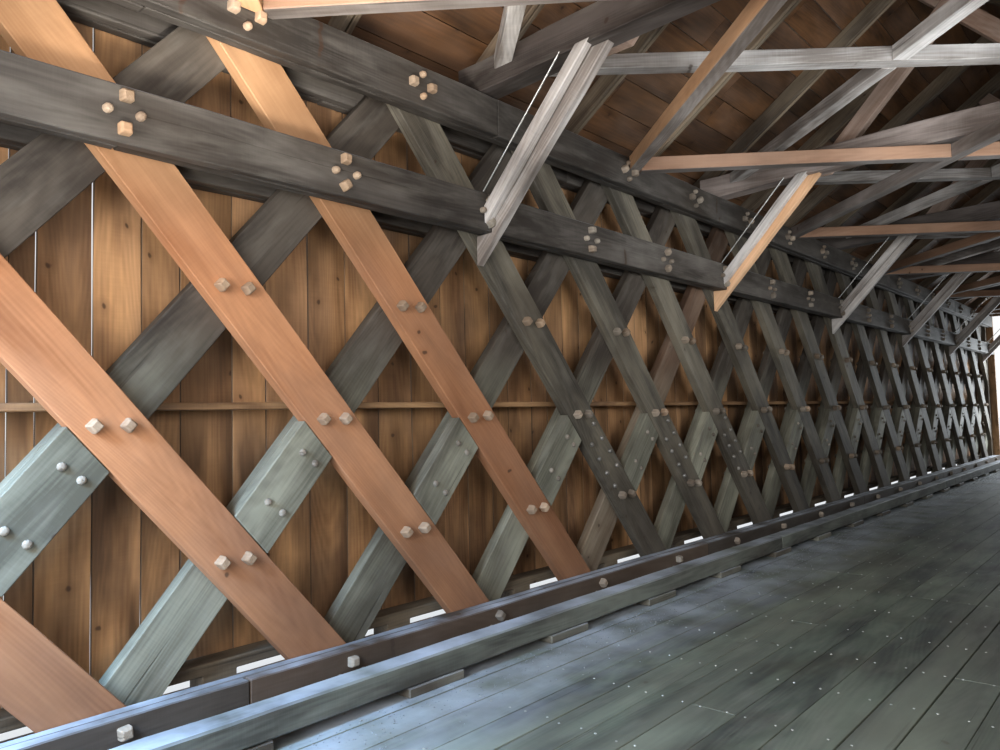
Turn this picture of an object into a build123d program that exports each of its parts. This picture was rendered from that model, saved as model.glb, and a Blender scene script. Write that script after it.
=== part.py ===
from build123d import *
from math import ceil, cos, floor, radians, sin, tan
import os

# Covered bridge on lattice trusses.
# X runs along the roadway, Y across it, Z up from the foot of the abutments.

# Truss layout
spacing = 1220.0
row_rise = 709.6
bays = 6
bay_spacings = 3
end_run = 732.0
clear_width = 4300.0

# Truss planks
plank_width = 280.0
plank_thickness = 80.0
packing_gap = 6.0
chord_depth = 280.0
chord_thickness = 150.0
end_post_width = 150.0
slot_height = 90.0
seam_half_width = 3.0
seam_depth = 8.0
butt_gap = 5.0
butt_depth = 10.0
chord_plank_spacings = 4
outer_sill_drop = 159.0
bottom_joint_shift = 3.0
lower_joint_shift = 0.5
upper_joint_shift = 2.0
top_joint_shift = 2.1

# Abutments and the bed timbers on them
seat_height = 1600.0
seat_length = 1300.0
backwall_thickness = 500.0
backwall_gap = 40.0
abutment_margin = 320.0
bed_height = 200.0
bed_width = 250.0
bed_inset = 170.0
bed_end_setback = 10.0

# Floor
floor_beam_width = 160.0
floor_beam_depth = 250.0
beam_end_gap = 10.0
deck_below_middle = 1500.0
deck_thickness = 75.0
sleeper_depth = 75.0
sleeper_width = 100.0
sleeper_shift = 366.0
stringer_width = 120.0
stringer_count = 7
deck_edge_gap = 20.0

# Wheel guards
guard_gap = 210.0
guard_width = 160.0
guard_height = 141.0
guard_block_height = 50.0
guard_block_length = 410.0
guard_block_shift = 312.0

# Tie beams and knee braces
tie_width = 185.0
tie_depth = 221.0
tie_shift = 50.0
tie_bearing = 230.0
tie_camber = 50.0
tie_segments = 8
brace_pitch = 47.0
near_brace_reach = 874.0
near_brace_depth = 83.0
near_brace_thickness = 71.0
far_brace_reach = 974.0
far_brace_depth = 132.0
far_brace_thickness = 73.0
brace_pair_gap = 6.0
brace_pair_shift = 30.0
rod_diameter = 14.0
rod_reach = 640.0
rod_shift = 90.0
rod_overrun = 60.0

# Overhead bracing
new_brace_width = 110.0
new_brace_depth = 120.0
new_brace_overrun = 60.0
new_brace_lead = 160.0
new_brace_skew = 180.0
new_brace_offset = 45.0
old_brace_width = 110.0
old_brace_depth = 106.0
old_brace_reach = 1950.0
brace_joint_gap = 4.0
scissor_pitch = 47.0
scissor_reach = 1010.0
scissor_depth = 150.0
scissor_thickness = 105.0

# Roof
roof_pitch = 35.0
plate_height = 131.0
rafter_seat = 80.0
rafter_depth = 150.0
rafter_ply = 38.0
rafter_ply_gap = 12.0
rafter_shift = 240.0
eave_overhang = 400.0
rafter_tail_setback = 30.0
gable_overhang = 450.0
roof_board_thickness = 25.0
roof_covering_thickness = 20.0

# Siding
siding_thickness = 25.0
siding_top_gap = 26.0
mid_nailer_height = 39.0
mid_nailer_rise = 66.0
sill_rail_height = 60.0
cleat_width = 190.0
skirt_drop = 80.0
portal_board_gap = 10.0
gable_side_gap = 20.0

# Levels and faces that follow from the sizes above
truss_half_height = 3 * row_rise + chord_depth / 2
middle = seat_height + bed_height + truss_half_height
truss_bottom = middle - truss_half_height
truss_top = middle + truss_half_height
deck_top = middle - deck_below_middle
bay_run = bay_spacings * spacing
half_length = bays * bay_run / 2 + end_run
roof_half_length = half_length + gable_overhang
inner_face = clear_width / 2
lattice_face = inner_face + chord_thickness
layer_face = lattice_face + plank_thickness
outer_chord_face = layer_face + plank_thickness
siding_face = outer_chord_face + chord_thickness
lattice_slope = 2 * row_rise / spacing
plank_half_cut = plank_width * (1 + lattice_slope**2) ** 0.5 / lattice_slope / 2


def block(x_from, x_to, y_from, y_to, z_from, z_to):
    size = Box(x_to - x_from, y_to - y_from, z_to - z_from)
    return Pos((x_from + x_to) / 2, (y_from + y_to) / 2, (z_from + z_to) / 2) * size


def prism(points, run):
    face = Face(Wire.make_polygon([Vector(*p) for p in points], close=True))
    return Solid.extrude(face, Vector(*run))


def largest(shape):
    return max(shape.solids(), key=lambda solid: solid.volume)


def across(solids):
    return [solid.mirror(Plane.XZ) for solid in solids]


def save(solids, name):
    shape = Compound(children=list(solids)) if len(solids) > 1 else solids[0]
    export_step(shape, os.path.join("parts", name + ".step"))


def spaced(pitch, shift, margin):
    first = ceil((margin - half_length - shift) / pitch)
    last = floor((half_length - margin - shift) / pitch)
    return [shift + count * pitch for count in range(first, last + 1)]


# Lattice: two layers of parallel planks leaning opposite ways
def clipped(outline, limit):
    for sign in (-1, 1):
        kept = []
        for here, after in zip(outline, outline[1:] + outline[:1]):
            inside = sign * here[0] <= limit
            if inside:
                kept.append(here)
            if inside != (sign * after[0] <= limit):
                share = (sign * limit - here[0]) / (after[0] - here[0])
                kept.append((sign * limit, here[1] + share * (after[1] - here[1])))
        outline = kept
        if not outline:
            return outline
    return outline


def lattice_layer(lean, y_from):
    planks = []
    half_run = truss_half_height / lattice_slope
    reach = half_length - end_post_width
    first = -floor((reach + half_run) / spacing)
    for count in range(first, -first + 1):
        at = count * spacing
        outline = [
            (at - lean * half_run - plank_half_cut, truss_bottom),
            (at - lean * half_run + plank_half_cut, truss_bottom),
            (at + lean * half_run + plank_half_cut, truss_top),
            (at + lean * half_run - plank_half_cut, truss_top),
        ]
        outline = clipped(outline, reach)
        if outline and max(x for x, z in outline) - min(x for x, z in outline) > plank_width:
            corners = [(x, y_from, z) for x, z in outline]
            planks.append(prism(corners, (0, plank_thickness, 0)))
    return planks


def packing_blocks():
    blocks = []
    top = -plank_half_cut - packing_gap
    foot = plank_half_cut + packing_gap - spacing
    for at in spaced(spacing, 0, spacing):
        corners = [
            (
                at + (aside + along) / 2,
                lattice_face,
                middle + lattice_slope * (along - aside) / 2,
            )
            for aside, along in (
                (-plank_half_cut, top),
                (plank_half_cut, top),
                (plank_half_cut, foot),
                (-plank_half_cut, foot),
            )
        ]
        blocks.append(prism(corners, (0, plank_thickness, 0)))
    return blocks


# Chords: doubled planks clamping the lattice from both faces
def butt_joints(y_from, z_from, z_to, stagger):
    joints = []
    pitch = chord_plank_spacings * spacing
    for at in spaced(pitch, stagger * spacing, butt_gap):
        joints.append(
            block(at - butt_gap / 2, at + butt_gap / 2, y_from, y_from + butt_depth, z_from, z_to)
        )
    return joints


def chord(row, y_from, stagger, lowered=0.0):
    z_from = middle + row * row_rise - chord_depth / 2
    z_to = z_from + chord_depth - lowered
    y_to = y_from + chord_thickness
    seam = (y_from + y_to) / 2
    section = [
        (y_from, z_from),
        (seam - seam_half_width, z_from),
        (seam, z_from + seam_depth),
        (seam + seam_half_width, z_from),
        (y_to, z_from),
        (y_to, z_to),
        (seam + seam_half_width, z_to),
        (seam, z_to - seam_depth),
        (seam - seam_half_width, z_to),
        (y_from, z_to),
    ]
    bar = prism([(-half_length, y, z) for y, z in section], (2 * half_length, 0, 0))
    joints = butt_joints(y_from, z_from, z_to, stagger)
    joints += butt_joints(y_to - butt_depth, z_from, z_to, stagger + chord_plank_spacings / 2)
    return bar - joints


def chord_pair(row, stagger, lowered=0.0):
    return [
        chord(row, inner_face, stagger),
        chord(row, outer_chord_face, stagger + 1, lowered),
    ]


# Abutments and bed timbers
def abutment(side):
    front = side * (half_length + backwall_gap - seat_length)
    back = side * (half_length + backwall_gap)
    rear = side * (half_length + backwall_gap + backwall_thickness)
    half_width = siding_face + abutment_margin
    outline = [
        (front, -half_width, 0),
        (rear, -half_width, 0),
        (rear, -half_width, deck_top),
        (back, -half_width, deck_top),
        (back, -half_width, seat_height),
        (front, -half_width, seat_height),
    ]
    return prism(outline, (0, 2 * half_width, 0))


def bed_timbers():
    timbers = []
    half_width = siding_face - bed_end_setback
    near = half_length - bed_inset - bed_width / 2
    far = half_length + backwall_gap - seat_length + bed_inset + bed_width / 2
    for at in (-near, -far, far, near):
        x_from = at - bed_width / 2
        x_to = at + bed_width / 2
        timbers.append(block(x_from, x_to, -half_width, half_width, seat_height, truss_bottom))
    return timbers


# Floor: beams on the bottom chords, stringers, sleepers and a lengthwise deck
beam_bottom = truss_bottom + chord_depth
beam_top = beam_bottom + floor_beam_depth
deck_bottom = deck_top - deck_thickness
sleeper_bottom = deck_bottom - sleeper_depth
deck_half_width = inner_face - deck_edge_gap


def floor_beams():
    half_width = lattice_face - beam_end_gap
    beams = []
    for at in spaced(spacing, 0, floor_beam_width):
        x_from = at - floor_beam_width / 2
        x_to = at + floor_beam_width / 2
        beams.append(block(x_from, x_to, -half_width, half_width, beam_bottom, beam_top))
    return beams


def stringers():
    rows = []
    step = (2 * deck_half_width - stringer_width) / (stringer_count - 1)
    for count in range(stringer_count):
        y_from = -deck_half_width + count * step
        y_to = y_from + stringer_width
        rows.append(block(-half_length, half_length, y_from, y_to, beam_top, sleeper_bottom))
    return rows


def sleepers():
    rows = []
    for at in spaced(spacing / 2, sleeper_shift, sleeper_width):
        x_from = at - sleeper_width / 2
        x_to = at + sleeper_width / 2
        rows.append(
            block(x_from, x_to, -deck_half_width, deck_half_width, sleeper_bottom, deck_bottom)
        )
    return rows


deck = block(
    -half_length, half_length, -deck_half_width, deck_half_width, deck_bottom, deck_top
)

# Wheel guards on short blocks
guard_outer = inner_face - guard_gap
guard_inner = guard_outer - guard_width
guard_bottom = deck_top + guard_block_height
wheel_guard = block(
    -half_length,
    half_length,
    guard_inner,
    guard_outer,
    guard_bottom,
    guard_bottom + guard_height,
)


def guard_blocks():
    blocks = []
    for at in spaced(spacing, guard_block_shift, guard_block_length / 2):
        x_from = at - guard_block_length / 2
        x_to = at + guard_block_length / 2
        blocks.append(block(x_from, x_to, guard_inner, guard_outer, deck_top, guard_bottom))
    return blocks


# Overhead bracing: crossed bars between the chords, and an older set between the ties
tie_places = [(k - bays / 2) * bay_run + tie_shift for k in range(bays + 1)]
old_brace_bottom = truss_top + tie_depth - old_brace_depth
new_brace_run = bay_run + new_brace_overrun
new_brace_places = spaced(
    new_brace_run, tie_shift + bay_run / 2 + new_brace_lead, -new_brace_run
)


def plan_bar(x_from, x_to, y_from, y_to, width, z_from, depth):
    run = ((x_to - x_from) ** 2 + (y_to - y_from) ** 2) ** 0.5
    cut = width * run / abs(y_to - y_from) / 2
    corners = [
        (x_from - cut, y_from, z_from),
        (x_from + cut, y_from, z_from),
        (x_to + cut, y_to, z_from),
        (x_to - cut, y_to, z_from),
    ]
    return prism(corners, (0, 0, depth))


def crossed_bars(x_from, x_to, end, width, z_from, depth, whole_leans_left):
    lean = 1 if whole_leans_left else -1
    whole = plan_bar(x_from, x_to, -lean * end, lean * end, width, z_from, depth)
    grown = plan_bar(
        x_from, x_to, -lean * end, lean * end, width + 2 * brace_joint_gap, z_from, depth
    )
    cut = plan_bar(x_from, x_to, lean * end, -lean * end, width, z_from, depth)
    return whole, list((cut - grown).solids())


def within(bars, window):
    pieces = []
    for bar in bars:
        trimmed = bar & window
        if trimmed:
            pieces += trimmed.solids()
    return pieces


def new_bracing():
    z_from = truss_top - new_brace_depth
    window = block(
        tie_places[0] - tie_width / 2,
        tie_places[-1] + tie_width / 2,
        -inner_face,
        inner_face,
        z_from,
        truss_top,
    )
    whole = []
    grown = []
    crossing = []
    for at in new_brace_places:
        near = at - new_brace_run - new_brace_skew
        start = at + new_brace_offset
        end = at + new_brace_run - new_brace_skew - new_brace_offset
        for bars, width in (
            (whole, new_brace_width),
            (grown, new_brace_width + 2 * brace_joint_gap),
        ):
            bars.append(
                plan_bar(near, at, -inner_face, inner_face, width, z_from, new_brace_depth)
            )
        crossing.append(
            plan_bar(
                start, end, inner_face, -inner_face, new_brace_width, z_from, new_brace_depth
            )
        )
    least = new_brace_width * new_brace_depth * new_brace_run / 4
    pieces = within(whole, window)
    for bar in within(crossing, window):
        pieces += [part for part in (bar - grown).solids() if part.volume > least]
    return pieces


def old_bracing():
    bars = []
    for here, after in zip(tie_places, tie_places[1:]):
        x_from = here + tie_width / 2
        x_to = after - tie_width / 2
        spare = old_brace_width * (x_to - x_from) / (2 * old_brace_reach)
        window = block(
            x_from, x_to, -inner_face, inner_face, truss_top, truss_top + tie_depth
        )
        whole, halves = crossed_bars(
            x_from - spare,
            x_to + spare,
            old_brace_reach + old_brace_width,
            old_brace_width,
            old_brace_bottom,
            old_brace_depth,
            False,
        )
        bars += within([whole] + halves, window)
    return bars


# Tie beams: cambered, with their ends on the top chords
tie_half_length = inner_face + tie_bearing


def tie_rise(y):
    return tie_camber * max(0, 1 - (y / inner_face) ** 2)


def tie_outline(x_at, z_from, z_to):
    steps = [
        inner_face * (2 * count / tie_segments - 1) for count in range(tie_segments + 1)
    ]
    stations = [-tie_half_length] + steps + [tie_half_length]
    low = [(x_at, y, z_from + tie_rise(y)) for y in stations]
    high = [(x_at, y, z_to + tie_rise(y)) for y in reversed(stations)]
    return low + high


def tie_beams():
    beams = []
    for at in tie_places:
        x_from = at - tie_width / 2
        outline = tie_outline(x_from, truss_top, truss_top + tie_depth)
        beams.append(prism(outline, (tie_width, 0, 0)))
    return beams


# Knee braces: pairs of planks, the far one notched round the chord
brace_rise = tan(radians(brace_pitch))
upper_chord_top = middle + 2 * row_rise + chord_depth / 2
upper_chord_bottom = upper_chord_top - chord_depth


def knee_braces():
    planks = []
    near_cut = near_brace_depth / sin(radians(brace_pitch))
    far_cut = far_brace_depth / sin(radians(brace_pitch))
    near_lower = truss_top - near_brace_reach * brace_rise
    near_upper = near_lower + near_cut * brace_rise
    far_upper = truss_top - (far_brace_reach - far_cut) * brace_rise
    far_lower = truss_top - (far_brace_reach + chord_thickness) * brace_rise
    lift = tie_camber
    shift = lift / brace_rise
    for at in tie_places:
        near_x = at - brace_pair_shift - brace_pair_gap / 2 - near_brace_thickness
        far_x = at - brace_pair_shift + brace_pair_gap / 2
        head = truss_top + lift
        near_outline = [
            (near_x, inner_face - near_brace_reach - shift, head),
            (near_x, inner_face - near_brace_reach + near_cut - shift, head),
            (near_x, inner_face, near_upper),
            (near_x, inner_face, near_lower),
        ]
        far_outline = [
            (far_x, inner_face - far_brace_reach - shift, head),
            (far_x, inner_face - far_brace_reach + far_cut - shift, head),
            (far_x, inner_face, far_upper),
            (far_x, inner_face, upper_chord_bottom),
            (far_x, lattice_face, upper_chord_bottom),
            (far_x, lattice_face, far_lower),
        ]
        x_from = at - tie_width / 2
        tie = prism(tie_outline(x_from, truss_top, truss_top + tie_depth), (tie_width, 0, 0))
        for outline, thickness in (
            (near_outline, near_brace_thickness),
            (far_outline, far_brace_thickness),
        ):
            planks.append(largest(prism(outline, (thickness, 0, 0)) - tie))
    return planks


def brace_rods():
    rods = []
    foot = Vector(0, inner_face + rod_diameter, upper_chord_top)
    head = Vector(0, inner_face - rod_reach, truss_top)
    line = (foot - head).normalized()
    for at in tie_places:
        aside = Vector(at - rod_shift, 0, 0)
        top = head + aside - line * rod_overrun
        length = (foot - head).length + 2 * rod_overrun
        bar = Solid.make_cylinder(rod_diameter / 2, length, Plane(origin=top, z_dir=line))
        x_from = at - tie_width / 2
        span = block(
            x_from - rod_diameter,
            x_from + tie_width,
            head.Y - rod_overrun,
            foot.Y + rod_overrun,
            upper_chord_top,
            truss_top + tie_camber,
        )
        tie = prism(tie_outline(x_from, truss_top, truss_top + tie_depth), (tie_width, 0, 0))
        rods.append(largest((bar & span) - tie))
    return rods


# Roof: plates, seated rafters, boards and covering
roof_rise = tan(radians(roof_pitch))
plate_top = truss_top + plate_height
rafter_heel = siding_face - rafter_seat
rafter_height = rafter_depth / cos(radians(roof_pitch))
board_height = roof_board_thickness / cos(radians(roof_pitch))
covering_height = roof_covering_thickness / cos(radians(roof_pitch))
eave = siding_face + eave_overhang
rafter_tail = eave - rafter_tail_setback


def rafter_under(y):
    return plate_top + (rafter_heel - y) * roof_rise


def roof_plate():
    return block(
        -roof_half_length, roof_half_length, outer_chord_face, siding_face, truss_top, plate_top
    )


def rafters():
    planks = []
    limit = roof_half_length - rafter_ply - rafter_ply_gap
    first = ceil((-limit - rafter_shift) / spacing)
    last = floor((limit - rafter_shift) / spacing)
    for count in range(first, last + 1):
        at = rafter_shift + count * spacing
        for x_from in (at - rafter_ply_gap / 2 - rafter_ply, at + rafter_ply_gap / 2):
            outline = [
                (x_from, 0, rafter_under(0)),
                (x_from, rafter_heel, plate_top),
                (x_from, siding_face, plate_top),
                (x_from, siding_face, rafter_under(siding_face)),
                (x_from, rafter_tail, rafter_under(rafter_tail)),
                (x_from, rafter_tail, rafter_under(rafter_tail) + rafter_height),
                (x_from, 0, rafter_under(0) + rafter_height),
            ]
            planks.append(prism(outline, (rafter_ply, 0, 0)))
    return planks


def scissor_braces():
    bars = []
    rise = tan(radians(scissor_pitch))
    foot = truss_top + tie_camber
    edges = []
    for reach in (scissor_reach, scissor_reach - scissor_depth / sin(radians(scissor_pitch))):
        start = inner_face - reach
        crossing = truss_top + start * rise - plate_top - rafter_heel * roof_rise
        y_high = crossing / (rise + roof_rise)
        y_foot = start - tie_camber / rise
        edges.append(((y_foot, foot), (y_high, rafter_under(-y_high))))
    lower, upper = edges
    for at in tie_places:
        x_from = at + tie_width / 2
        outline = [(x_from, y, z) for y, z in (lower[0], upper[0], upper[1], lower[1])]
        bars.append(prism(outline, (scissor_thickness, 0, 0)))
    return bars


def parted(bars, others):
    halves = []
    for bar, other in zip(bars, others):
        lift = brace_joint_gap / cos(radians(scissor_pitch))
        raised = other.moved(Pos(0, 0, lift))
        lowered = other.moved(Pos(0, 0, -lift))
        halves += (bar - other - raised - lowered).solids()
    return halves


def roof_layer(lift, height):
    low = rafter_under(eave) + rafter_height + lift
    high = rafter_under(0) + rafter_height + lift
    outline = [
        (-roof_half_length, 0, high),
        (-roof_half_length, eave, low),
        (-roof_half_length, eave, low + height),
        (-roof_half_length, 0, high + height),
    ]
    return prism(outline, (2 * roof_half_length, 0, 0))


# Siding, its rails and the skirts below the daylight slot
slot_bottom = middle - 2 * row_rise - chord_depth / 2 + outer_sill_drop
slot_top = slot_bottom + slot_height
siding_top = rafter_under(siding_face + siding_thickness) - siding_top_gap


def boarding(z_from, z_to):
    return block(
        -half_length, half_length, siding_face, siding_face + siding_thickness, z_from, z_to
    )


def siding_rails():
    nailer_bottom = middle + mid_nailer_rise
    nailer = block(
        -half_length,
        half_length,
        outer_chord_face,
        siding_face,
        nailer_bottom,
        nailer_bottom + mid_nailer_height,
    )
    rail = block(
        -half_length,
        half_length,
        outer_chord_face,
        siding_face,
        slot_top,
        slot_top + sill_rail_height,
    )
    for at in spaced(spacing, spacing / 2, cleat_width):
        x_from = at - cleat_width / 2
        x_to = at + cleat_width / 2
        rail += block(x_from, x_to, outer_chord_face, siding_face, slot_bottom, slot_top)
    return [nailer, rail]


# Portals
def gable(side):
    x_at = side * half_length
    half_width = outer_chord_face - gable_side_gap
    shoulder = rafter_under(half_width) + rafter_height
    outline = [
        (x_at, -half_width, truss_top),
        (x_at, half_width, truss_top),
        (x_at, half_width, shoulder),
        (x_at, 0, rafter_under(0) + rafter_height),
        (x_at, -half_width, shoulder),
    ]
    return prism(outline, (side * siding_thickness, 0, 0))


def cheeks():
    panels = []
    for side in (-1, 1):
        x_from = min(side * half_length, side * (half_length + siding_thickness))
        x_to = x_from + siding_thickness
        y_to = siding_face + siding_thickness
        z_from = deck_top + portal_board_gap
        z_to = truss_top - portal_board_gap
        panels.append(block(x_from, x_to, inner_face, y_to, z_from, z_to))
    return panels


def end_posts():
    posts = []
    for side in (-1, 1):
        edges = sorted((side * (half_length - end_post_width), side * half_length))
        posts.append(
            block(edges[0], edges[1], lattice_face, outer_chord_face, truss_bottom, truss_top)
        )
    return posts


left_bottom_chords = chord_pair(-3, bottom_joint_shift)
left_lower_chords = chord_pair(-2, lower_joint_shift, chord_depth - outer_sill_drop)
left_upper_chords = chord_pair(2, upper_joint_shift)
left_top_chords = chord_pair(3, top_joint_shift)
left_inner_layer = lattice_layer(-1, lattice_face)
left_outer_layer = lattice_layer(1, layer_face)
left_packings = packing_blocks()
left_knee_braces = knee_braces()
left_rods = brace_rods()
left_rafters = rafters()
left_scissors = scissor_braces()
left_roof_boards = [roof_layer(0, board_height)]
left_covering = [roof_layer(board_height, covering_height)]
left_siding = [boarding(slot_top, siding_top)]
left_skirt = [boarding(truss_bottom - skirt_drop, slot_bottom)]
left_rails = siding_rails()

os.makedirs("parts", exist_ok=True)
save([abutment(-1)], "near_abutment")
save([abutment(1)], "far_abutment")
save(bed_timbers(), "bed_timbers")
save(left_bottom_chords, "left_bottom_chords")
save(across(left_bottom_chords), "right_bottom_chords")
save(left_lower_chords, "left_lower_secondary_chords")
save(across(left_lower_chords), "right_lower_secondary_chords")
save(left_upper_chords, "left_upper_secondary_chords")
save(across(left_upper_chords), "right_upper_secondary_chords")
save(left_top_chords, "left_top_chords")
save(across(left_top_chords), "right_top_chords")
save(left_inner_layer, "left_lattice_inner")
save(across(left_inner_layer), "right_lattice_inner")
save(left_outer_layer, "left_lattice_outer")
save(across(left_outer_layer), "right_lattice_outer")
save(left_packings + across(left_packings), "lattice_packings")
save(end_posts() + across(end_posts()), "end_posts")
save(floor_beams(), "floor_beams")
save(stringers(), "floor_stringers")
save(sleepers(), "floor_sleepers")
save([deck], "deck")
save([wheel_guard] + across([wheel_guard]), "wheel_guards")
save(guard_blocks() + across(guard_blocks()), "guard_blocks")
save(tie_beams(), "tie_beams")
save(left_knee_braces, "left_knee_braces")
save(across(left_knee_braces), "right_knee_braces")
save(left_rods + across(left_rods), "brace_rods")
save(old_bracing(), "old_overhead_bracing")
save(new_bracing(), "new_overhead_bracing")
save([roof_plate()] + across([roof_plate()]), "roof_plates")
save(left_scissors, "left_scissor_braces")
save(parted(across(left_scissors), left_scissors), "right_scissor_braces")
save(left_rafters, "left_rafters")
save(across(left_rafters), "right_rafters")
save(left_roof_boards, "left_roof_boards")
save(across(left_roof_boards), "right_roof_boards")
save(left_covering, "left_roof_covering")
save(across(left_covering), "right_roof_covering")
save(left_siding, "left_siding")
save(across(left_siding), "right_siding")
save(left_rails + across(left_rails), "siding_rails")
save(left_skirt + across(left_skirt), "skirts")
save([gable(-1)], "near_gable")
save([gable(1)], "far_gable")
save(cheeks() + across(cheeks()), "portal_cheeks")
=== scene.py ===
# %% [markdown]
# # A covered bridge seen from its own roadway
# The photograph is taken inside the bridge, close to the right-hand side, looking at the left truss.
# The model gives every timber its place. Here each one gets edges, grain, wear and its pegs.

import bmesh
import bpy
import math
import random
from mathutils import Matrix, Vector, noise


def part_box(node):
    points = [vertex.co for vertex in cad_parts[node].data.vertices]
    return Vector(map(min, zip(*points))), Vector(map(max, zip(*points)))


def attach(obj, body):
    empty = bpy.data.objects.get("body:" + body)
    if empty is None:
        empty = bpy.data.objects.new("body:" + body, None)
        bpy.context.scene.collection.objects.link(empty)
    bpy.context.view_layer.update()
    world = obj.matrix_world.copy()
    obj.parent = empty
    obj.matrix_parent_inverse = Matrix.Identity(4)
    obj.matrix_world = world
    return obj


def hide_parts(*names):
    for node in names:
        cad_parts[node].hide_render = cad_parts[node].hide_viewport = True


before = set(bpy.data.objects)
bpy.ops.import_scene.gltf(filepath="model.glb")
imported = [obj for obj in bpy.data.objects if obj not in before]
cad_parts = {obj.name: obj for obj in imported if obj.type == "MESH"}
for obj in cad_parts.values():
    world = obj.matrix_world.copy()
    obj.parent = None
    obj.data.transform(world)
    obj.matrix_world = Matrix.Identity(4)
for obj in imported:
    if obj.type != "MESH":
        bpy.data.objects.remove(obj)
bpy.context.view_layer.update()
scene = bpy.context.scene
scene.view_settings.view_transform = "Standard"
rng = random.Random(11)

# %% [markdown]
# ## Sizes that the whole bridge shares
# A lattice truss is a pattern: planks cross every 1.22 m, in rows 0.71 m apart.
# Most faces can be read from the checked model, so they are measured here and not typed again.
# A place along the bridge is often given in spacings from its middle.

# %% Shared sizes
SPACING = 1.22
top_low, top_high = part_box("left_top_chords")
FACE = top_low.y
END = top_high.x
RISE = top_low.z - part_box("left_upper_secondary_chords")[0].z
MIDDLE = (top_high.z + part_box("left_bottom_chords")[0].z) / 2
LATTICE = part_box("left_lattice_inner")[0].y
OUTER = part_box("left_lattice_outer")[1].y
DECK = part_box("deck")[1].z
LEAN = 2 * RISE / SPACING
PLANK_RUN = 1 / math.hypot(1, LEAN)
PLANK_RISE = LEAN * PLANK_RUN
print("row rise", round(RISE, 4), "middle row", round(MIDDLE, 4), "clear width", round(2 * FACE, 3))

# %% [markdown]
# ## The camera
# The viewpoint was found from the crossings of the lattice, whose true positions are known.
# It stands about 1.6 m above the deck and looks along the bridge and towards the left truss.

# %% Place the camera
VIEWPOINT = Vector((-11.125, -1.356, MIDDLE - 0.009))
yaw = math.radians(42.129)
pitch = math.radians(3.192)
roll = math.radians(-1.381)
ahead = Vector((math.cos(pitch) * math.cos(yaw), math.cos(pitch) * math.sin(yaw), math.sin(pitch)))
level = Vector((math.sin(yaw), -math.cos(yaw), 0))
right = math.cos(roll) * level + math.sin(roll) * level.cross(ahead)
up = right.cross(ahead)
camera = bpy.data.objects.new("camera", bpy.data.cameras.new("camera"))
scene.collection.objects.link(camera)
camera.matrix_world = Matrix.LocRotScale(
    VIEWPOINT,
    Matrix((right, up, -ahead)).transposed(),
    None,
)
camera.data.lens = 27.07
camera.data.sensor_width = 36
camera.data.clip_start = 0.05
scene.camera = camera
scene.render.resolution_x = 1000
scene.render.resolution_y = 750
print("camera up", [round(v, 3) for v in up])

# %% [markdown]
# ## Light
# Inside, daylight comes from the near portal and, more weakly, from the side opposite.
# Large soft lamps stand in for both. Each has a place, a point that it faces, a width and a height.
# A soft sun lights the outside.

# %% Light the bridge
COOL = (0.88, 0.95, 1.0)
CLEAR = (1.0, 0.99, 0.97)
WARM = (1.0, 0.94, 0.85)
BLUE = (0.34, 0.62, 1.0)


def lamp(name, place, target, width, height, watts, colour=CLEAR, spread=130):
    data = bpy.data.lights.new(name, "AREA")
    data.shape = "RECTANGLE"
    data.size = width
    data.size_y = height
    data.energy = watts
    data.color = colour
    data.spread = math.radians(spread)
    made = bpy.data.objects.new(name, data)
    made.location = place
    made.rotation_euler = (Vector(target) - Vector(place)).to_track_quat("-Z", "Y").to_euler()
    made.visible_camera = False
    scene.collection.objects.link(made)


lamp("near portal light", (-12.9, 0.1, 4.8), (0.0, 0.3, 5.2), 3.0, 2.8, watts=300, spread=180)
lamp("near sky light", (-11.7, 1.5, 5.0), (-9.8, 1.5, 2.6), 0.7, 0.9, watts=75, colour=BLUE, spread=90)
lamp("near bank light", (-10.3, 0.2, 3.9), (-8.9, 1.8, 7.2), 1.0, 0.5, watts=45, colour=WARM, spread=60)
lamp("near roof light", (-10.0, 0.5, 6.6), (-8.8, 1.5, 7.7), 0.5, 0.4, watts=34, colour=WARM, spread=80)
lamp("light under ties", (-6.3, -1.5, 4.9), (-4.6, 0.5, 6.6), 3.0, 0.8, watts=36, colour=COOL, spread=100)
lamp("near deck light", (-12.6, -1.0, 4.6), (-8.3, -0.7, 2.6), 1.4, 1.0, watts=26, spread=60)
lamp("near side light", (-9.6, -1.9, 5.2), (-8.6, 2.3, 5.4), 3.0, 1.4, watts=34)
lamp("middle side light", (-4.6, -1.9, 5.2), (-4.0, 2.3, 5.2), 4.0, 1.4, watts=36)
lamp("far side light", (2.5, -1.9, 5.2), (3.0, 2.3, 5.0), 5.0, 1.4, watts=16)
lamp("far portal light", (12.5, 1.0, 4.6), (9.0, 2.2, 4.3), 1.8, 3.0, watts=190, colour=COOL, spread=180)
sun = bpy.data.objects.new("sun", bpy.data.lights.new("sun", "SUN"))
sun.data.energy = 2.0
sun.data.angle = math.radians(12)
sun.rotation_euler = (math.radians(48), 0, math.radians(28))
scene.collection.objects.link(sun)

# %% [markdown]
# ## Sky
# The bridge is lit by an even, slightly blue sky. Only the camera sees it as pure white.

# %% Sky
world = bpy.data.worlds.new("sky")
world.use_nodes = True
scene.world = world
sky = world.node_tree
backdrop = sky.nodes["Background"]
backdrop.inputs["Color"].default_value = (0.86, 0.92, 1.0, 1)
backdrop.inputs["Strength"].default_value = 0.7
white = sky.nodes.new("ShaderNodeBackground")
white.inputs["Color"].default_value = (1, 1, 1, 1)
rays = sky.nodes.new("ShaderNodeLightPath")
choose = sky.nodes.new("ShaderNodeMixShader")
sky.links.new(rays.outputs["Is Camera Ray"], choose.inputs[0])
sky.links.new(backdrop.outputs[0], choose.inputs[1])
sky.links.new(white.outputs[0], choose.inputs[2])
sky.links.new(choose.outputs[0], sky.nodes["World Output"].inputs["Surface"])
print("sky strength", backdrop.inputs["Strength"].default_value)

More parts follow.
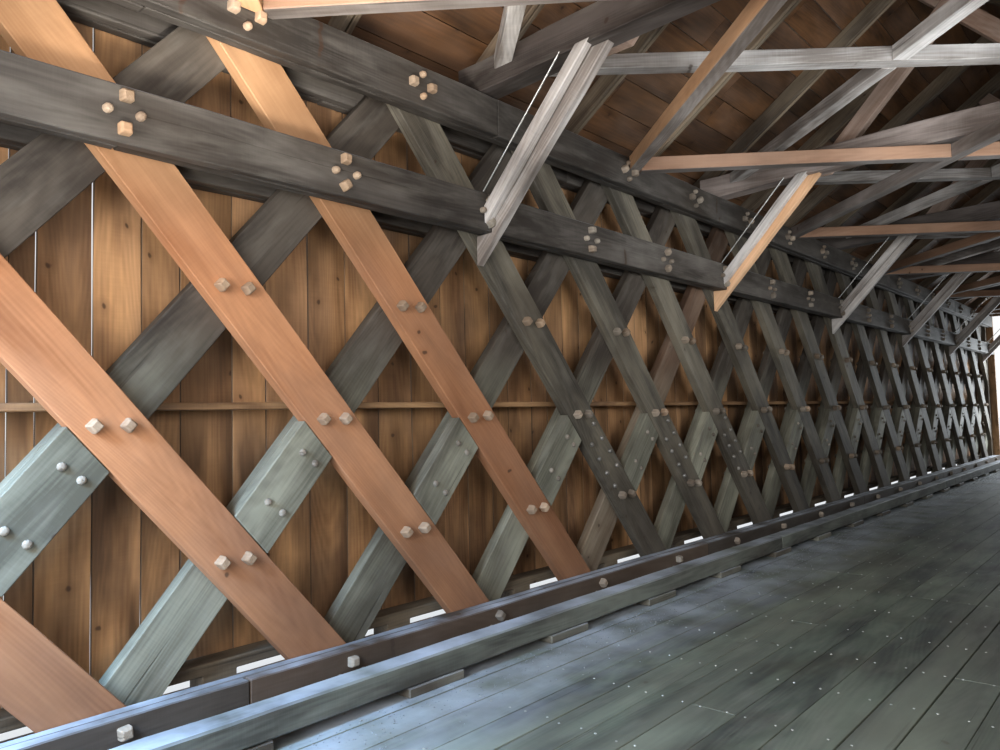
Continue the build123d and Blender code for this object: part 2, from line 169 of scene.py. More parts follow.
# %% [markdown]
# ## A small kit for materials
# Every surface is made of textures computed from position, so nothing repeats and no picture is needed.
# The class below only shortens the code: it adds a node, fills its inputs and returns what comes out.

# %% Material kit
class Paint:
    def __init__(self, name):
        self.material = bpy.data.materials.new(name)
        self.material.use_nodes = True
        self.tree = self.material.node_tree
        self.shader = self.tree.nodes["Principled BSDF"]
        self.shader.inputs["Specular IOR Level"].default_value = 0.3

    def put(self, socket, value):
        if isinstance(value, bpy.types.NodeSocket):
            self.tree.links.new(value, socket)
        else:
            socket.default_value = value

    def add(self, kind, values, out=0, **settings):
        made = self.tree.nodes.new("ShaderNode" + kind)
        for key, value in settings.items():
            setattr(made, key, value)
        for key, value in values.items():
            self.put(made.inputs[key], value)
        return made.outputs[out]

    def math(self, operation, first, second=0.0):
        return self.add("Math", {0: first, 1: second}, operation=operation)

    def times(self, first, second):
        return self.math("MULTIPLY", first, second)

    def plus(self, first, second):
        return self.math("ADD", first, second)

    def stretch(self, vector, scale):
        return self.add("VectorMath", {0: vector, 1: scale}, operation="MULTIPLY")

    def noise(self, vector, scale, detail=2.0):
        return self.add("TexNoise", {"Vector": vector, "Scale": scale, "Detail": detail})

    def mix(self, factor, first, second):
        return self.add("Mix", {0: factor, 6: first, 7: second}, out=2, data_type="RGBA")

    def ramp(self, factor, start, end):
        return self.add("MapRange", {"Value": factor, "From Min": start, "From Max": end}, clamp=True)

    def finish(self, colour, roughness, height, depth, strength=0.5):
        self.put(self.shader.inputs["Base Color"], colour)
        self.put(self.shader.inputs["Roughness"], roughness)
        bump = self.add("Bump", {"Height": height, "Distance": depth, "Strength": strength})
        self.put(self.shader.inputs["Normal"], bump)
        return self.material


def tint(r, g, b):
    return (r, g, b, 1.0)


# %% [markdown]
# ## Sawn wood: where a point lies on its board
# A board is a slice of a log. Each one carries its own grain coordinates, so rings, fibres and saw marks
# follow that board and never run on into the next.
# Its tone sets it apart from its neighbours, and its age says how far it has gone from fresh to weathered.

# %% Wood coordinates
RINGS = 230.0


class Wood(Paint):
    def __init__(self, name):
        super().__init__(name)
        self.grain = self.add("Attribute", {}, out=1, attribute_name="grain")
        self.tone = self.add("Attribute", {}, out=2, attribute_name="tone")
        self.age = self.add("Attribute", {}, out=2, attribute_name="age")
        self.place = self.add("NewGeometry", {}, out=0)
        self.x, self.y, self.z = self.parts(self.place)
        self.facing = self.parts(self.add("NewGeometry", {}, out=1))
        self.mark_grain()

    def parts(self, vector):
        return [self.add("SeparateXYZ", {0: vector}, out=axis) for axis in range(3)]

    def on_grain(self, scale, detail):
        return self.noise(self.stretch(self.grain, scale), 1.0, detail)

    def mark_grain(self):
        wave = self.math("SINE", self.times(self.on_grain((0.30, 2.6, 2.6), 1.0), RINGS))
        self.lines = self.times(self.plus(wave, 1.0), 0.5)
        self.fibre = self.on_grain((2.2, 70.0, 70.0), 3.0)
        self.saw = self.on_grain((120.0, 6.0, 6.0), 2.0)
        patch = self.on_grain((1.0, 4.5, 4.5), 4.0)
        streak = self.plus(self.times(self.fibre, 0.28), self.times(self.lines, 0.06))
        streak = self.plus(streak, self.times(patch, 1.12))
        self.streak = self.plus(streak, self.times(self.saw, 0.07))


# %% [markdown]
# ## Fresh and weathered wood
# Wood greys first where the weather reaches it, on outer faces. The undersides of some bars are greyed too,
# which is painted cool light.
# Fresh wood is orange or brown with darker patches, and pale on the newest pieces. Inner planks are also
# paler high up, partly as painted light.

# %% Fresh and weathered colours
BRUISE = tint(0.30, 0.20, 0.15)


def weather_and_light_faces(p, cool_lit_below, weather):
    # Faces that look down turn grey: painted cool light on the undersides.
    if cool_lit_below:
        under = p.times(p.ramp(p.facing[2], -0.6, -0.9), cool_lit_below)
        p.age = p.math("MAXIMUM", p.age, p.times(under, p.ramp(p.tone, 0.99, 0.97)))
    if weather:
        outward = p.times(p.facing[1], p.math("SIGN", p.y))
        endward = p.times(p.facing[0], p.math("SIGN", p.x))
        open_air = p.ramp(p.math("MAXIMUM", outward, endward), 0.3, 0.8)
        p.age = p.math("MAXIMUM", p.age, p.times(open_air, weather))


def fresh_colour(p, fresh, pale_and_lit_from, pales):
    figure = p.ramp(p.streak, 0.52, 1.02)
    new = p.mix(figure, fresh[1], fresh[0])
    blotch = p.ramp(p.on_grain((1.3, 3.4, 3.4), 3.0), 0.42, 0.66)
    new = p.mix(p.times(blotch, 0.40), new, p.mix(0.55, new, BRUISE))
    pale = p.times(p.ramp(p.tone, 0.78, 1.0), pales)
    # Above a given height the wood turns pale: partly paler wood, partly painted light falling from the near
    # portal.
    if pale_and_lit_from:
        pale = p.math("MAXIMUM", pale, p.times(p.ramp(p.z, *pale_and_lit_from), 0.85))
    return p.mix(pale, new, p.mix(figure, PALE[1], PALE[0]))


def aged_colour(p, aged, low):
    worn = p.ramp(p.streak, 0.60, 0.94)
    old = p.mix(worn, aged[1], aged[0])
    # Below the middle row the aged colour changes to a second, lighter pair: painted light below and painted
    # shade above.
    if low:
        old = p.mix(p.ramp(p.z, MIDDLE + 0.5, MIDDLE - 0.1), old, p.mix(worn, low[1], low[0]))
    return old


# %% [markdown]
# ## Knots, cracks and dirt
# Knots are dark discs with a shaded ring. Cracks open along the grain, more of them in old wood.
# Dirt, damp, scuffs, wheel tracks and dust are laid over the colour one after another. The pale blue on top
# faces is dust and painted sky light together.

# %% Marks on the wood
KNOT = tint(0.045, 0.022, 0.012)
CRACK = tint(0.02, 0.016, 0.012)
DIRT = tint(0.040, 0.030, 0.022)
DAMP = tint(0.050, 0.025, 0.013)
SCUFF = tint(0.36, 0.34, 0.30)
SPLASH = tint(0.060, 0.045, 0.034)
TRACK = tint(0.205, 0.218, 0.170)
# Pale blue for top faces near the sides: real dust, and painted sky light on those tops.
DUST_AND_SKYLIGHT = tint(0.47, 0.52, 0.60)
DUST_AND_SKYLIGHT_EDGE = (0.95, 1.60)
KNOTS_PER_METRE = 2.4


def add_knots(p, colour, knots, fresh_dark, aged_dark):
    bend = p.times(p.on_grain((3.0, 9.0, 9.0), 2.0), 0.10)
    bumpy = p.add("VectorMath", {0: p.grain, 1: bend}, operation="ADD")
    cells = {"Vector": bumpy, "Scale": KNOTS_PER_METRE}
    spot = p.add("TexVoronoi", cells, voronoi_dimensions="2D")
    pick = p.add("TexVoronoi", cells, out=1, voronoi_dimensions="2D")
    chosen = p.math("GREATER_THAN", pick, 1.0 - 0.5 * knots)
    halo = p.times(p.ramp(spot, 0.14, 0.03), chosen)
    colour = p.mix(p.times(halo, 0.35), colour, p.mix(p.age, fresh_dark, aged_dark))
    knot = p.times(p.ramp(spot, 0.042, 0.020), chosen)
    return p.mix(p.times(knot, 0.75), colour, KNOT)


def add_cracks(p, colour):
    open_to_age = p.plus(p.times(p.age, 0.7), 0.08)
    p.crack = p.times(p.ramp(p.on_grain((0.8, 38.0, 38.0), 1.0), 0.70, 0.75), open_to_age)
    return p.mix(p.times(p.crack, 0.7), colour, CRACK)


def add_dirt(p, colour, grime, stain):
    more_on_old = p.plus(p.times(p.age, 0.30), grime)
    dirt = p.times(p.ramp(p.noise(p.place, 1.5, 4.0), 0.46, 0.72), more_on_old)
    colour = p.mix(dirt, colour, DIRT)
    if stain:
        damp = p.noise(p.stretch(p.grain, (0.5, 3.0, 3.0)), 1.3, 4.0)
        lower = p.plus(p.times(p.ramp(p.z, MIDDLE + 0.5, MIDDLE - 0.3), 0.6), 0.4)
        colour = p.mix(p.times(p.times(p.ramp(damp, 0.44, 0.60), stain), lower), colour, DAMP)
    return colour


def add_wear(p, colour, tracks, foot, dust_and_skylight):
    scuff = p.ramp(p.on_grain((3.0, 11.0, 11.0), 4.0), 0.50, 0.76)
    colour = p.mix(p.times(scuff, p.times(p.age, 0.16)), colour, SCUFF)
    if tracks:
        rubbed = p.ramp(p.noise(p.stretch(p.place, (0.22, 2.6, 1.0)), 1.0, 4.0), 0.44, 0.66)
        colour = p.mix(p.times(rubbed, tracks), colour, TRACK)
    if foot:
        colour = p.mix(p.times(p.ramp(p.z, MIDDLE - 0.1, DECK), foot), colour, SPLASH)
    # Top faces near the sides turn pale blue: dust, together with painted sky light.
    if dust_and_skylight:
        on_tops = p.ramp(p.noise(p.place, 2.4, 5.0), 0.30, 0.66)
        on_tops = p.times(p.ramp(p.facing[2], 0.6, 0.95), on_tops)
        edge = p.ramp(p.math("ABSOLUTE", p.y), *DUST_AND_SKYLIGHT_EDGE)
        colour = p.mix(p.times(on_tops, p.times(edge, dust_and_skylight)), colour, DUST_AND_SKYLIGHT)
    return colour


# %% [markdown]
# ## The woods of this bridge
# Every colour is a pair, first the light wood and then the dark wood of the grain.
# Each material blends a fresh pair into an aged pair and then gets the marks that its place calls for.

# %% Wood materials
def wood(
    name, fresh, aged, low=None, pale_and_lit_from=None, pales=1.0, cool_lit_below=0.0, weather=0.0, spread=0.4,
    knots=1.0, grime=0.28, stain=0.0, tracks=0.0, foot=0.0, dust_and_skylight=0.0,
):
    p = Wood(name)
    weather_and_light_faces(p, cool_lit_below, weather)
    colour = p.mix(p.age, fresh_colour(p, fresh, pale_and_lit_from, pales), aged_colour(p, aged, low))
    level = p.plus(p.times(p.tone, spread), 1.0 - spread / 2)
    colour = p.add("HueSaturation", {"Color": colour, "Value": level})
    colour = add_knots(p, colour, knots, fresh[1], aged[1])
    colour = add_cracks(p, colour)
    colour = add_dirt(p, colour, grime, stain)
    colour = add_wear(p, colour, tracks, foot, dust_and_skylight)
    height = p.plus(p.times(p.fibre, 0.45), p.times(p.saw, 0.18))
    height = p.plus(height, p.times(p.lines, 0.06))
    height = p.math("SUBTRACT", height, p.crack)
    return p.finish(colour, p.plus(p.times(p.fibre, 0.25), 0.55), height, 0.003, 0.6)


ORANGE = tint(0.64, 0.305, 0.150), tint(0.34, 0.140, 0.062)
PALE = tint(0.66, 0.39, 0.205), tint(0.42, 0.225, 0.108)
GREY = tint(0.195, 0.172, 0.130), tint(0.060, 0.053, 0.042)
SHADED_DIM = tint(0.112, 0.094, 0.076), tint(0.042, 0.034, 0.028)
BROWN_GREY = tint(0.108, 0.097, 0.087), tint(0.031, 0.026, 0.022)
LIT_GREEN_GREY = tint(0.300, 0.300, 0.235), tint(0.118, 0.114, 0.088)
SILVER = tint(0.60, 0.58, 0.56), tint(0.185, 0.165, 0.150)
BOARD = tint(0.60, 0.345, 0.160), tint(0.120, 0.052, 0.020)
SIDE = tint(0.72, 0.39, 0.170), tint(0.225, 0.108, 0.046)
BAR = tint(0.52, 0.30, 0.185), tint(0.29, 0.15, 0.085)
BAR_GREY = tint(0.30, 0.285, 0.275), tint(0.105, 0.095, 0.088)
TIE_GREY = tint(0.24, 0.21, 0.20), tint(0.080, 0.066, 0.060)
ROOF = tint(0.19, 0.088, 0.036), tint(0.034, 0.015, 0.006)
ROAD = tint(0.148, 0.176, 0.134), tint(0.058, 0.065, 0.058)
RAIL = tint(0.160, 0.186, 0.165), tint(0.050, 0.058, 0.054)
SHINGLE = tint(0.27, 0.245, 0.21), tint(0.10, 0.086, 0.070)
PEG = tint(0.50, 0.36, 0.245), tint(0.27, 0.175, 0.105)
OLD_PEG = tint(0.36, 0.32, 0.265), tint(0.15, 0.125, 0.10)

# Inner planks: paler high up, partly the wood and partly painted light.
plank_wood = wood("inner lattice wood", ORANGE, GREY, pale_and_lit_from=(4.95, 5.45), foot=0.55)
# Outer planks and packings: painted shade above the middle row, painted light below it.
outer_wood = wood("outer lattice wood", ORANGE, SHADED_DIM, low=LIT_GREEN_GREY)
# Chord tops: dust and painted sky light.
chord_wood = wood("chord wood", ORANGE, BROWN_GREY, dust_and_skylight=0.95, foot=0.65)
frame_wood = wood("old framing wood", BOARD, GREY)
tie_wood = wood("tie beam wood", BOARD, TIE_GREY, spread=1.2)
bar_wood = wood("overhead bar wood", BAR, SILVER, spread=0.8)
# Its grey undersides are painted cool light.
new_bar_wood = wood("new bar wood", BAR, BAR_GREY, cool_lit_below=0.9)
board_wood = wood(
    "side board wood", SIDE, GREY, knots=1.6, grime=0.5, spread=0.7, stain=0.75, pales=0.25, weather=0.62
)
roof_wood = wood("roof board wood", ROOF, GREY, grime=0.5, pales=0.0)
# Road and guard tops near the sides: dust and painted sky light.
road_wood = wood("road plank wood", ORANGE, ROAD, dust_and_skylight=0.75, tracks=0.55)
guard_wood = wood("wheel guard wood", PALE, RAIL, dust_and_skylight=0.95)
shingle_wood = wood("shingle wood", BOARD, SHINGLE, knots=0.0, spread=0.55)
peg_wood = wood("peg wood", PEG, OLD_PEG, knots=0.0)
print("wood materials", len(bpy.data.materials))

# %% [markdown]
# ## Steel, stone and gravel
# The other surfaces are mottled: a coarse and a fine noise together pick between a light and a dark colour.

# %% Other materials
def mottled(name, light, dark, scale, depth, rough, metal=0.0):
    p = Paint(name)
    place = p.add("NewGeometry", {}, out=0)
    tone = p.add("Attribute", {}, out=2, attribute_name="tone")
    coarse = p.noise(place, scale, 5.0)
    fine = p.noise(place, scale * 9.0, 3.0)
    both = p.plus(p.times(coarse, 0.65), p.times(fine, 0.35))
    colour = p.mix(p.ramp(both, 0.35, 0.66), dark, light)
    level = p.plus(p.times(tone, 0.5), 0.75)
    colour = p.add("HueSaturation", {"Color": colour, "Value": level})
    p.shader.inputs["Metallic"].default_value = metal
    return p.finish(colour, p.plus(p.times(fine, 0.2), rough), both, depth)


stone = mottled("bank stone", tint(0.33, 0.30, 0.26), tint(0.15, 0.14, 0.125), 5.0, 0.02, 0.75)
mortar = mottled("stone joint", tint(0.16, 0.15, 0.13), tint(0.09, 0.085, 0.075), 9.0, 0.01, 0.85)
steel = mottled("rod steel", tint(0.62, 0.62, 0.60), tint(0.42, 0.41, 0.39), 30.0, 0.001, 0.25, 1.0)
iron = mottled("bolt iron", tint(0.36, 0.35, 0.32), tint(0.13, 0.115, 0.10), 60.0, 0.001, 0.35, 0.5)
worn_iron = mottled("worn nail iron", tint(0.42, 0.44, 0.41), tint(0.24, 0.25, 0.23), 60.0, 0.001, 0.4, 0.3)
gravel = mottled("gravel", tint(0.34, 0.37, 0.40), tint(0.18, 0.195, 0.21), 40.0, 0.001, 0.8)
print("materials", len(bpy.data.materials))

# %% [markdown]
# ## Boards that look sawn and handled
# A perfect box looks like plastic. Each board here is a row of four-cornered rings along its grain.
# Every corner is pulled in a little by smooth noise, and a narrow bevel breaks the edges.

# %% Board builder
ALONG_X = Matrix(((1, 0, 0), (0, 1, 0), (0, 0, 1)))
UPRIGHT = Matrix(((0, 1, 0), (0, 0, 1), (1, 0, 0)))


def new_piece():
    return {"co": [], "faces": [], "grain": [], "tone": [], "age": []}


def add_point(piece, co, grain, tone, age):
    piece["co"].append(co)
    piece["grain"].append(grain)
    piece["tone"].append(tone)
    piece["age"].append(age)


def grain_shift():
    return Vector((rng.uniform(0, 60), rng.uniform(-0.12, 0.12), rng.uniform(0, 0.08)))


def add_board(piece, place, size, age=1.0, wave=0.0015, step=0.5, tone=None):
    length, width, thick = size
    count = max(1, round(length / step))
    shift = grain_shift()
    tone = rng.random() if tone is None else tone
    seed = rng.uniform(0, 90)
    start = len(piece["co"])
    for i in range(count + 1):
        x = length * i / count
        for k, (y, z) in enumerate(((0, 0), (width, 0), (width, thick), (0, thick))):
            dy = wave * (0.5 + noise.noise((x * 1.7, seed + 5 * k, 0)))
            dz = wave * (0.5 + noise.noise((x * 1.7, seed + 5 * k, 9)))
            local = Vector((x, y - dy if y else y + dy, z - dz if z else z + dz))
            inner = Vector((x, y - width / 2, z)) + shift
            add_point(piece, place @ local, inner, tone, age)
    for i in range(count):
        a = start + 4 * i
        for k in range(4):
            n = (k + 1) % 4
            piece["faces"].append((a + k, a + n, a + 4 + n, a + 4 + k))
    last = start + 4 * count
    piece["faces"].append((start + 3, start + 2, start + 1, start))
    piece["faces"].append((last, last + 1, last + 2, last + 3))


def lay(piece, low, high, turn=ALONG_X, **looks):
    size = turn.transposed() @ (Vector(high) - Vector(low))
    add_board(piece, Matrix.Translation(low) @ turn.to_4x4(), size, **looks)


def show(piece, name, material, nodes=(), bevel=0.003):
    mesh = bpy.data.meshes.new(name)
    mesh.from_pydata(piece["co"], [], piece["faces"])
    grain = mesh.attributes.new("grain", "FLOAT_VECTOR", "POINT")
    grain.data.foreach_set("vector", [c for v in piece["grain"] for c in v])
    for key in ("tone", "age"):
        layer = mesh.attributes.new(key, "FLOAT", "POINT")
        layer.data.foreach_set("value", piece[key])
    made = bpy.data.objects.new(name.replace(" ", "_"), mesh)
    scene.collection.objects.link(made)
    mesh.materials.append(material)
    if bevel:
        rounding = made.modifiers.new("broken edges", "BEVEL")
        rounding.width = bevel
        rounding.segments = 1
        rounding.limit_method = "ANGLE"
        rounding.angle_limit = math.radians(35)
    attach(made, "root")
    if nodes:
        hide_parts(*nodes)
    print(name, "corners", len(piece["co"]))


# %% [markdown]
# ## Timbers taken from the model
# Planks with slanted or notched ends already have their true shape in the model.
# Each solid is copied, its long edges are divided and pushed about slightly, and its grain is laid along it.

# %% Timber builder
def solids_of(node):
    whole = bmesh.new()
    whole.from_mesh(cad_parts[node].data)
    bmesh.ops.remove_doubles(whole, verts=whole.verts, dist=1e-5)
    bmesh.ops.dissolve_limit(whole, angle_limit=0.01, verts=whole.verts, edges=whole.edges)
    whole.verts.index_update()
    left = set(whole.verts)
    solids = []
    for vert in whole.verts:
        if vert not in left:
            continue
        group, queue = [], [vert]
        left.discard(vert)
        while queue:
            here = queue.pop()
            group.append(here)
            for edge in here.link_edges:
                other = edge.other_vert(here)
                if other in left:
                    left.discard(other)
                    queue.append(other)
        number = {v: i for i, v in enumerate(group)}
        faces = {face.index: face for v in group for face in v.link_faces}
        corners = [[number[v] for v in faces[i].verts] for i in sorted(faces)]
        solids.append(([v.co.copy() for v in group], corners))
    whole.free()
    return solids


def add_timbers(piece, node, age_of, wave=0.003, step=0.4, tone_of=None):
    for points, corners in solids_of(node):
        shape = bmesh.new()
        verts = [shape.verts.new(co) for co in points]
        for face in corners:
            shape.faces.new([verts[i] for i in face])
        longest = max(shape.edges, key=lambda e: e.calc_length())
        run = (longest.verts[1].co - longest.verts[0].co).normalized()
        guide = Vector((0, 1, 0)) if abs(run.y) < 0.5 else Vector((1, 0, 0))
        side = run.cross(guide).normalized()
        through = run.cross(side)
        cuts = int(longest.calc_length() / step)
        long_edges = [e for e in shape.edges if e.calc_length() > 0.6 * longest.calc_length()]
        if cuts:
            bmesh.ops.subdivide_edges(shape, edges=long_edges, cuts=cuts)
        shape.verts.index_update()
        middle = sum((v.co for v in shape.verts), Vector()) / len(shape.verts)
        shift, tone, seed = grain_shift(), rng.random(), rng.uniform(0, 90)
        age = age_of(middle)
        tone = tone_of(middle, tone) if tone_of else tone
        start = len(piece["co"])
        for vert in shape.verts:
            local = vert.co - middle
            inner = Vector((local.dot(run), local.dot(side), local.dot(through)))
            sway = wave * noise.noise((inner.x * 1.9, seed, inner.y * 9))
            lift = wave * noise.noise((inner.x * 1.9, seed + 40, inner.z * 9))
            add_point(piece, vert.co + side * sway + through * lift, inner + shift, tone, age)
        for face in shape.faces:
            piece["faces"].append(tuple(start + v.index for v in face.verts))
        shape.free()


# %% [markdown]
# ## The lattice
# Two layers of planks lean opposite ways. The inner planks nearest the camera are new and orange.
# The others are weathered, and one plank of the outer layer is newer than its neighbours.
# Short packing planks fill the depth of the inner layer between two crossings, below the middle row.

# %% Lattice planks
LAST_NEW_INNER = -5.5 * SPACING
NEWER_OUTER = -4 * SPACING


def inner_age(middle):
    return 0.0 if middle.x < LAST_NEW_INNER else 1.0


def outer_age(middle):
    return 0.8 if abs(middle.x - NEWER_OUTER) < 0.4 * SPACING else 1.0


def quiet_tone(middle, tone):
    return 0.7 * tone


for side in ("left", "right"):
    for layer, age_of, material, slot in (
        ("inner", inner_age, plank_wood, "inner_plank_timber"),
        ("outer", outer_age, outer_wood, "outer_plank_timber"),
    ):
        piece = new_piece()
        add_timbers(piece, f"{side}_lattice_{layer}", age_of, wave=0.004, tone_of=quiet_tone)
        show(piece, f"{side} {layer} planks", material, [f"{side}_lattice_{layer}"], 0.004)
piece = new_piece()
add_timbers(piece, "lattice_packings", lambda middle: 1.0, wave=0.003)
show(piece, "packings", outer_wood, ["lattice_packings"], 0.004)

# %% [markdown]
# ## The chords
# A chord is two rows of planks laid side by side, on both faces of the lattice.
# Their ends meet at different places, so no joint goes through two rows. Seams and joints show as dark lines.

# %% Chord planks
PLY = 0.075
PLY_GAP = 0.003
JOINT_GAP = 0.004
CHORD_PLANK = 4 * SPACING
SHORTEST = 0.3
UNEVEN = 0.006
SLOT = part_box("siding_rails")[0].z
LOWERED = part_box("left_lower_secondary_chords")[1].z - SLOT


def ply_ends(first_joint):
    joints = [first_joint + k * CHORD_PLANK for k in range(-6, 7)]
    inside = [x for x in joints if -END + SHORTEST < x < END - SHORTEST]
    return [-END, *inside, END]


def on_side(side, low, high):
    if side > 0:
        return Vector(low), Vector(high)
    return Vector((low[0], -high[1], low[2])), Vector((high[0], -low[1], high[2]))


def plies(name, first_joint, lowered_outer=0.0, mended_at=None):
    low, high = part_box(f"left_{name}")
    for side, side_name in ((1, "left"), (-1, "right")):
        piece = new_piece()
        for y_from, lowered in ((FACE, 0.0), (OUTER, lowered_outer)):
            for ply in (0, 1):
                y0 = y_from + ply * (PLY + PLY_GAP / 2)
                y1 = y0 + PLY - PLY_GAP / 2
                ends = ply_ends(first_joint + (2 * ply + (y_from != FACE)) * SPACING)
                for a, b in zip(ends, ends[1:]):
                    seen = y_from == FACE and ply == 0
                    mended = seen and mended_at is not None and a < mended_at < b
                    foot = (a, y0, low.z + rng.uniform(0.0, UNEVEN))
                    head = (b - JOINT_GAP, y1, high.z - lowered - rng.uniform(0.0, UNEVEN))
                    age = 0.86 if mended else 1.0
                    lay(piece, *on_side(side, foot, head), age=age, wave=0.007, step=0.35)
        node = f"{side_name}_{name}"
        show(piece, node.replace("_", " "), chord_wood, [node], 0.006)


plies("bottom_chords", 3 * SPACING)
plies("lower_secondary_chords", 0.5 * SPACING, LOWERED, mended_at=-8.0)
plies("upper_secondary_chords", 2 * SPACING)
plies("top_chords", 2.1 * SPACING)

# %% [markdown]
# ## Wooden pegs
# Pegs of hard wood hold every crossing. Square heads are chamfered by hand, and round ones are rounded over.
# A head is a stack of rings, each a little smaller than the last. Nail and bolt heads are made the same way.

# %% Peg builder
def ring(count):
    return [(math.cos(math.tau * i / count), math.sin(math.tau * i / count)) for i in range(count)]


SQUARE = [(1, 0.8), (0.8, 1), (-0.8, 1), (-1, 0.8), (-1, -0.8), (-0.8, -1), (0.8, -1), (1, -0.8)]
OUTLINES = {"square": SQUARE, "round": ring(10), "nail": ring(6)}
PROFILES = {
    "square": ((-0.3, 1), (0.55, 1), (0.85, 0.86), (1, 0.62)),
    "round": ((-0.3, 1), (0.5, 1), (0.82, 0.8), (1, 0.42)),
    "nail": ((-0.3, 1), (1, 0.75)),
}


def add_peg(piece, centre, out, size, length, shape, age=1.0, turn=0.0):
    out = Vector(out)
    across = out.orthogonal().normalized()
    spin = Matrix.Rotation(turn + rng.uniform(-0.12, 0.12), 3, out)
    first, second = spin @ across, spin @ out.cross(across)
    shift, tone = grain_shift(), rng.random()
    start = len(piece["co"])
    tilt = Vector((rng.uniform(-0.06, 0.06), rng.uniform(-0.06, 0.06)))
    for along, scale in PROFILES[shape]:
        for a, b in OUTLINES[shape]:
            local = first * (a * size / 2 * scale + tilt.x * along * length)
            local += second * (b * size / 2 * scale + tilt.y * along * length)
            co = Vector(centre) + local + out * along * length
            add_point(piece, co, Vector((along * length, a * size / 2, b * size / 2)) + shift, tone, age)
    count, rings = len(OUTLINES[shape]), len(PROFILES[shape])
    for level in range(rings - 1):
        for i in range(count):
            a = start + level * count + i
            b = start + level * count + (i + 1) % count
            piece["faces"].append((a, b, b + count, a + count))
    piece["faces"].append(tuple(start + (rings - 1) * count + i for i in range(count)))


# %% [markdown]
# ## Where the pegs go
# Two hold each crossing of the lattice, and four stand in a diamond on each crossing of a chord.
# Where new planks were put in, the pegs are fresh too. The packing planks have small round ones.

# %% Pegs
PAIR = 0.075
JITTER = 0.006
LAST_FRESH_PAIR = -5.4 * SPACING
LAST_FRESH_DIAMOND = -6.3 * SPACING
PACKING_PEGS = ((-0.205, -0.181), (-0.125, -0.246), (-0.421, -0.433), (-0.335, -0.500))


def crossings(row):
    shift = 0.5 if row % 2 else 0.0
    places = [(k + shift) * SPACING for k in range(-11, 11)]
    return [x for x in places if abs(x) < END - 0.35]


def lattice_pegs(piece, side):
    for row in (-1, 0, 1):
        z = MIDDLE + row * RISE
        for x in crossings(row):
            for dx in (-PAIR, PAIR):
                age = rng.uniform(0, 0.3) if x < LAST_FRESH_PAIR else rng.uniform(0.5, 1.0)
                aside = x + dx + rng.uniform(-JITTER, JITTER)
                spot = (aside, side * LATTICE, z + rng.uniform(-0.008, 0.008))
                add_peg(piece, spot, (0, -side, 0), 0.055, 0.057, "square", age)
                add_peg(piece, (x + dx, side * OUTER, z), (0, side, 0), 0.052, 0.05, "square")


def diamond_age(row, x):
    if row > 0 and x < LAST_FRESH_DIAMOND:
        return rng.uniform(0, 0.35)
    return rng.uniform(0.7, 1.0) if row > -3 else 1.0


def chord_pegs(piece, side):
    for row in (-3, -2, 2, 3):
        for x in crossings(row):
            for k in range(4):
                reach = 0.078 if k % 2 == (0 if row == 2 else 1) else 0.072
                angle = k * math.pi / 2
                age = diamond_age(row, x)
                aside = x + reach * math.sin(angle) + rng.uniform(-JITTER, JITTER)
                spot = (aside, side * FACE, MIDDLE + row * RISE + reach * math.cos(angle))
                if k % 2 == (1 if row == 3 else 0):
                    turn = rng.choice((0.0, 0.78))
                    add_peg(piece, spot, (0, -side, 0), 0.055, 0.045, "square", age, turn)
                else:
                    add_peg(piece, spot, (0, -side, 0), 0.044, 0.034, "round", age)


def packing_pegs(piece, side):
    for x in crossings(0):
        for dx, dz in PACKING_PEGS:
            if abs(x + dx) < END - 0.2:
                spot = (x + dx, side * LATTICE, MIDDLE + dz)
                add_peg(piece, spot, (0, -side, 0), 0.040, 0.020, "round")


for name, side in (("left", 1), ("right", -1)):
    piece = new_piece()
    lattice_pegs(piece, side)
    chord_pegs(piece, side)
    packing_pegs(piece, side)
    show(piece, f"{name} pegs", peg_wood, (), 0)

# %% [markdown]
# ## Bolts where cracked planks were mended
# Three old planks of the inner layer are stitched below the middle crossing, with a double row of iron bolts.
# The bolts of one row stand beside the gaps of the other, so no line of grain is bored twice.

# %% Splice bolts
MENDED_PLANKS = (-5, -4, -3)
BOLT_ROWS = ((-0.075, 0.29), (0.075, 0.18))
piece = new_piece()
for side in (1, -1):
    for plank in MENDED_PLANKS:
        for aside, first in BOLT_ROWS:
            for k in range(4):
                fall = (first + 0.175 * k) * RISE
                x = plank * SPACING + fall / LEAN + aside * PLANK_RISE + rng.uniform(-0.008, 0.008)
                z = MIDDLE - fall + aside * PLANK_RUN + rng.uniform(-0.008, 0.008)
                add_peg(piece, (x, side * LATTICE, z), (0, -side, 0), 0.038, 0.024, "round")
show(piece, "splice bolts", iron, (), 0)

# %% [markdown]
# ## Ties, knee braces and overhead bars
# Big beams tie the trusses together. Knee braces and crossed bars keep them square.
# Their shapes, notches included, come from the model. A few single pieces are paler or newer than the rest.

# %% Ages and tones overhead
PALE_BARS_AT = -7.35
OLD_BARS_AT = -3.63
NEAR_TIE = -5
SECOND_TIE = -2


def always(age):
    return lambda middle: age


def pale_brace(middle):
    return -3.62 < middle.x < -3.0


def brace_age(middle):
    return 0.1 if pale_brace(middle) else 0.9


def brace_tone(middle, tone):
    if middle.x < -7.0:
        return 0.6
    return 0.98 if pale_brace(middle) else 0.3 + 0.4 * tone


def rail_age(middle):
    return 0.15 if middle.z > DECK + 0.6 else 0.9


def at_crossing(middle, x):
    return abs(middle.x - x) < 0.4 and abs(middle.y) < 0.5


def bar_age(middle):
    return 0.85 if at_crossing(middle, OLD_BARS_AT) else 0.08


def bar_tone(middle, tone):
    if middle.x < -9.9 and middle.y > 0:
        return 1.0
    return 0.95 if at_crossing(middle, PALE_BARS_AT) else 0.75 * tone


def tie_tone(middle, tone):
    if middle.x < NEAR_TIE:
        return 0.0
    return 0.85 if middle.x < SECOND_TIE else 0.4 * tone


# %% [markdown]
# ## Framing that only needs its surface
# Each row names a node of the model, its wood, its slot, its age, how uneven its faces are and its tone.

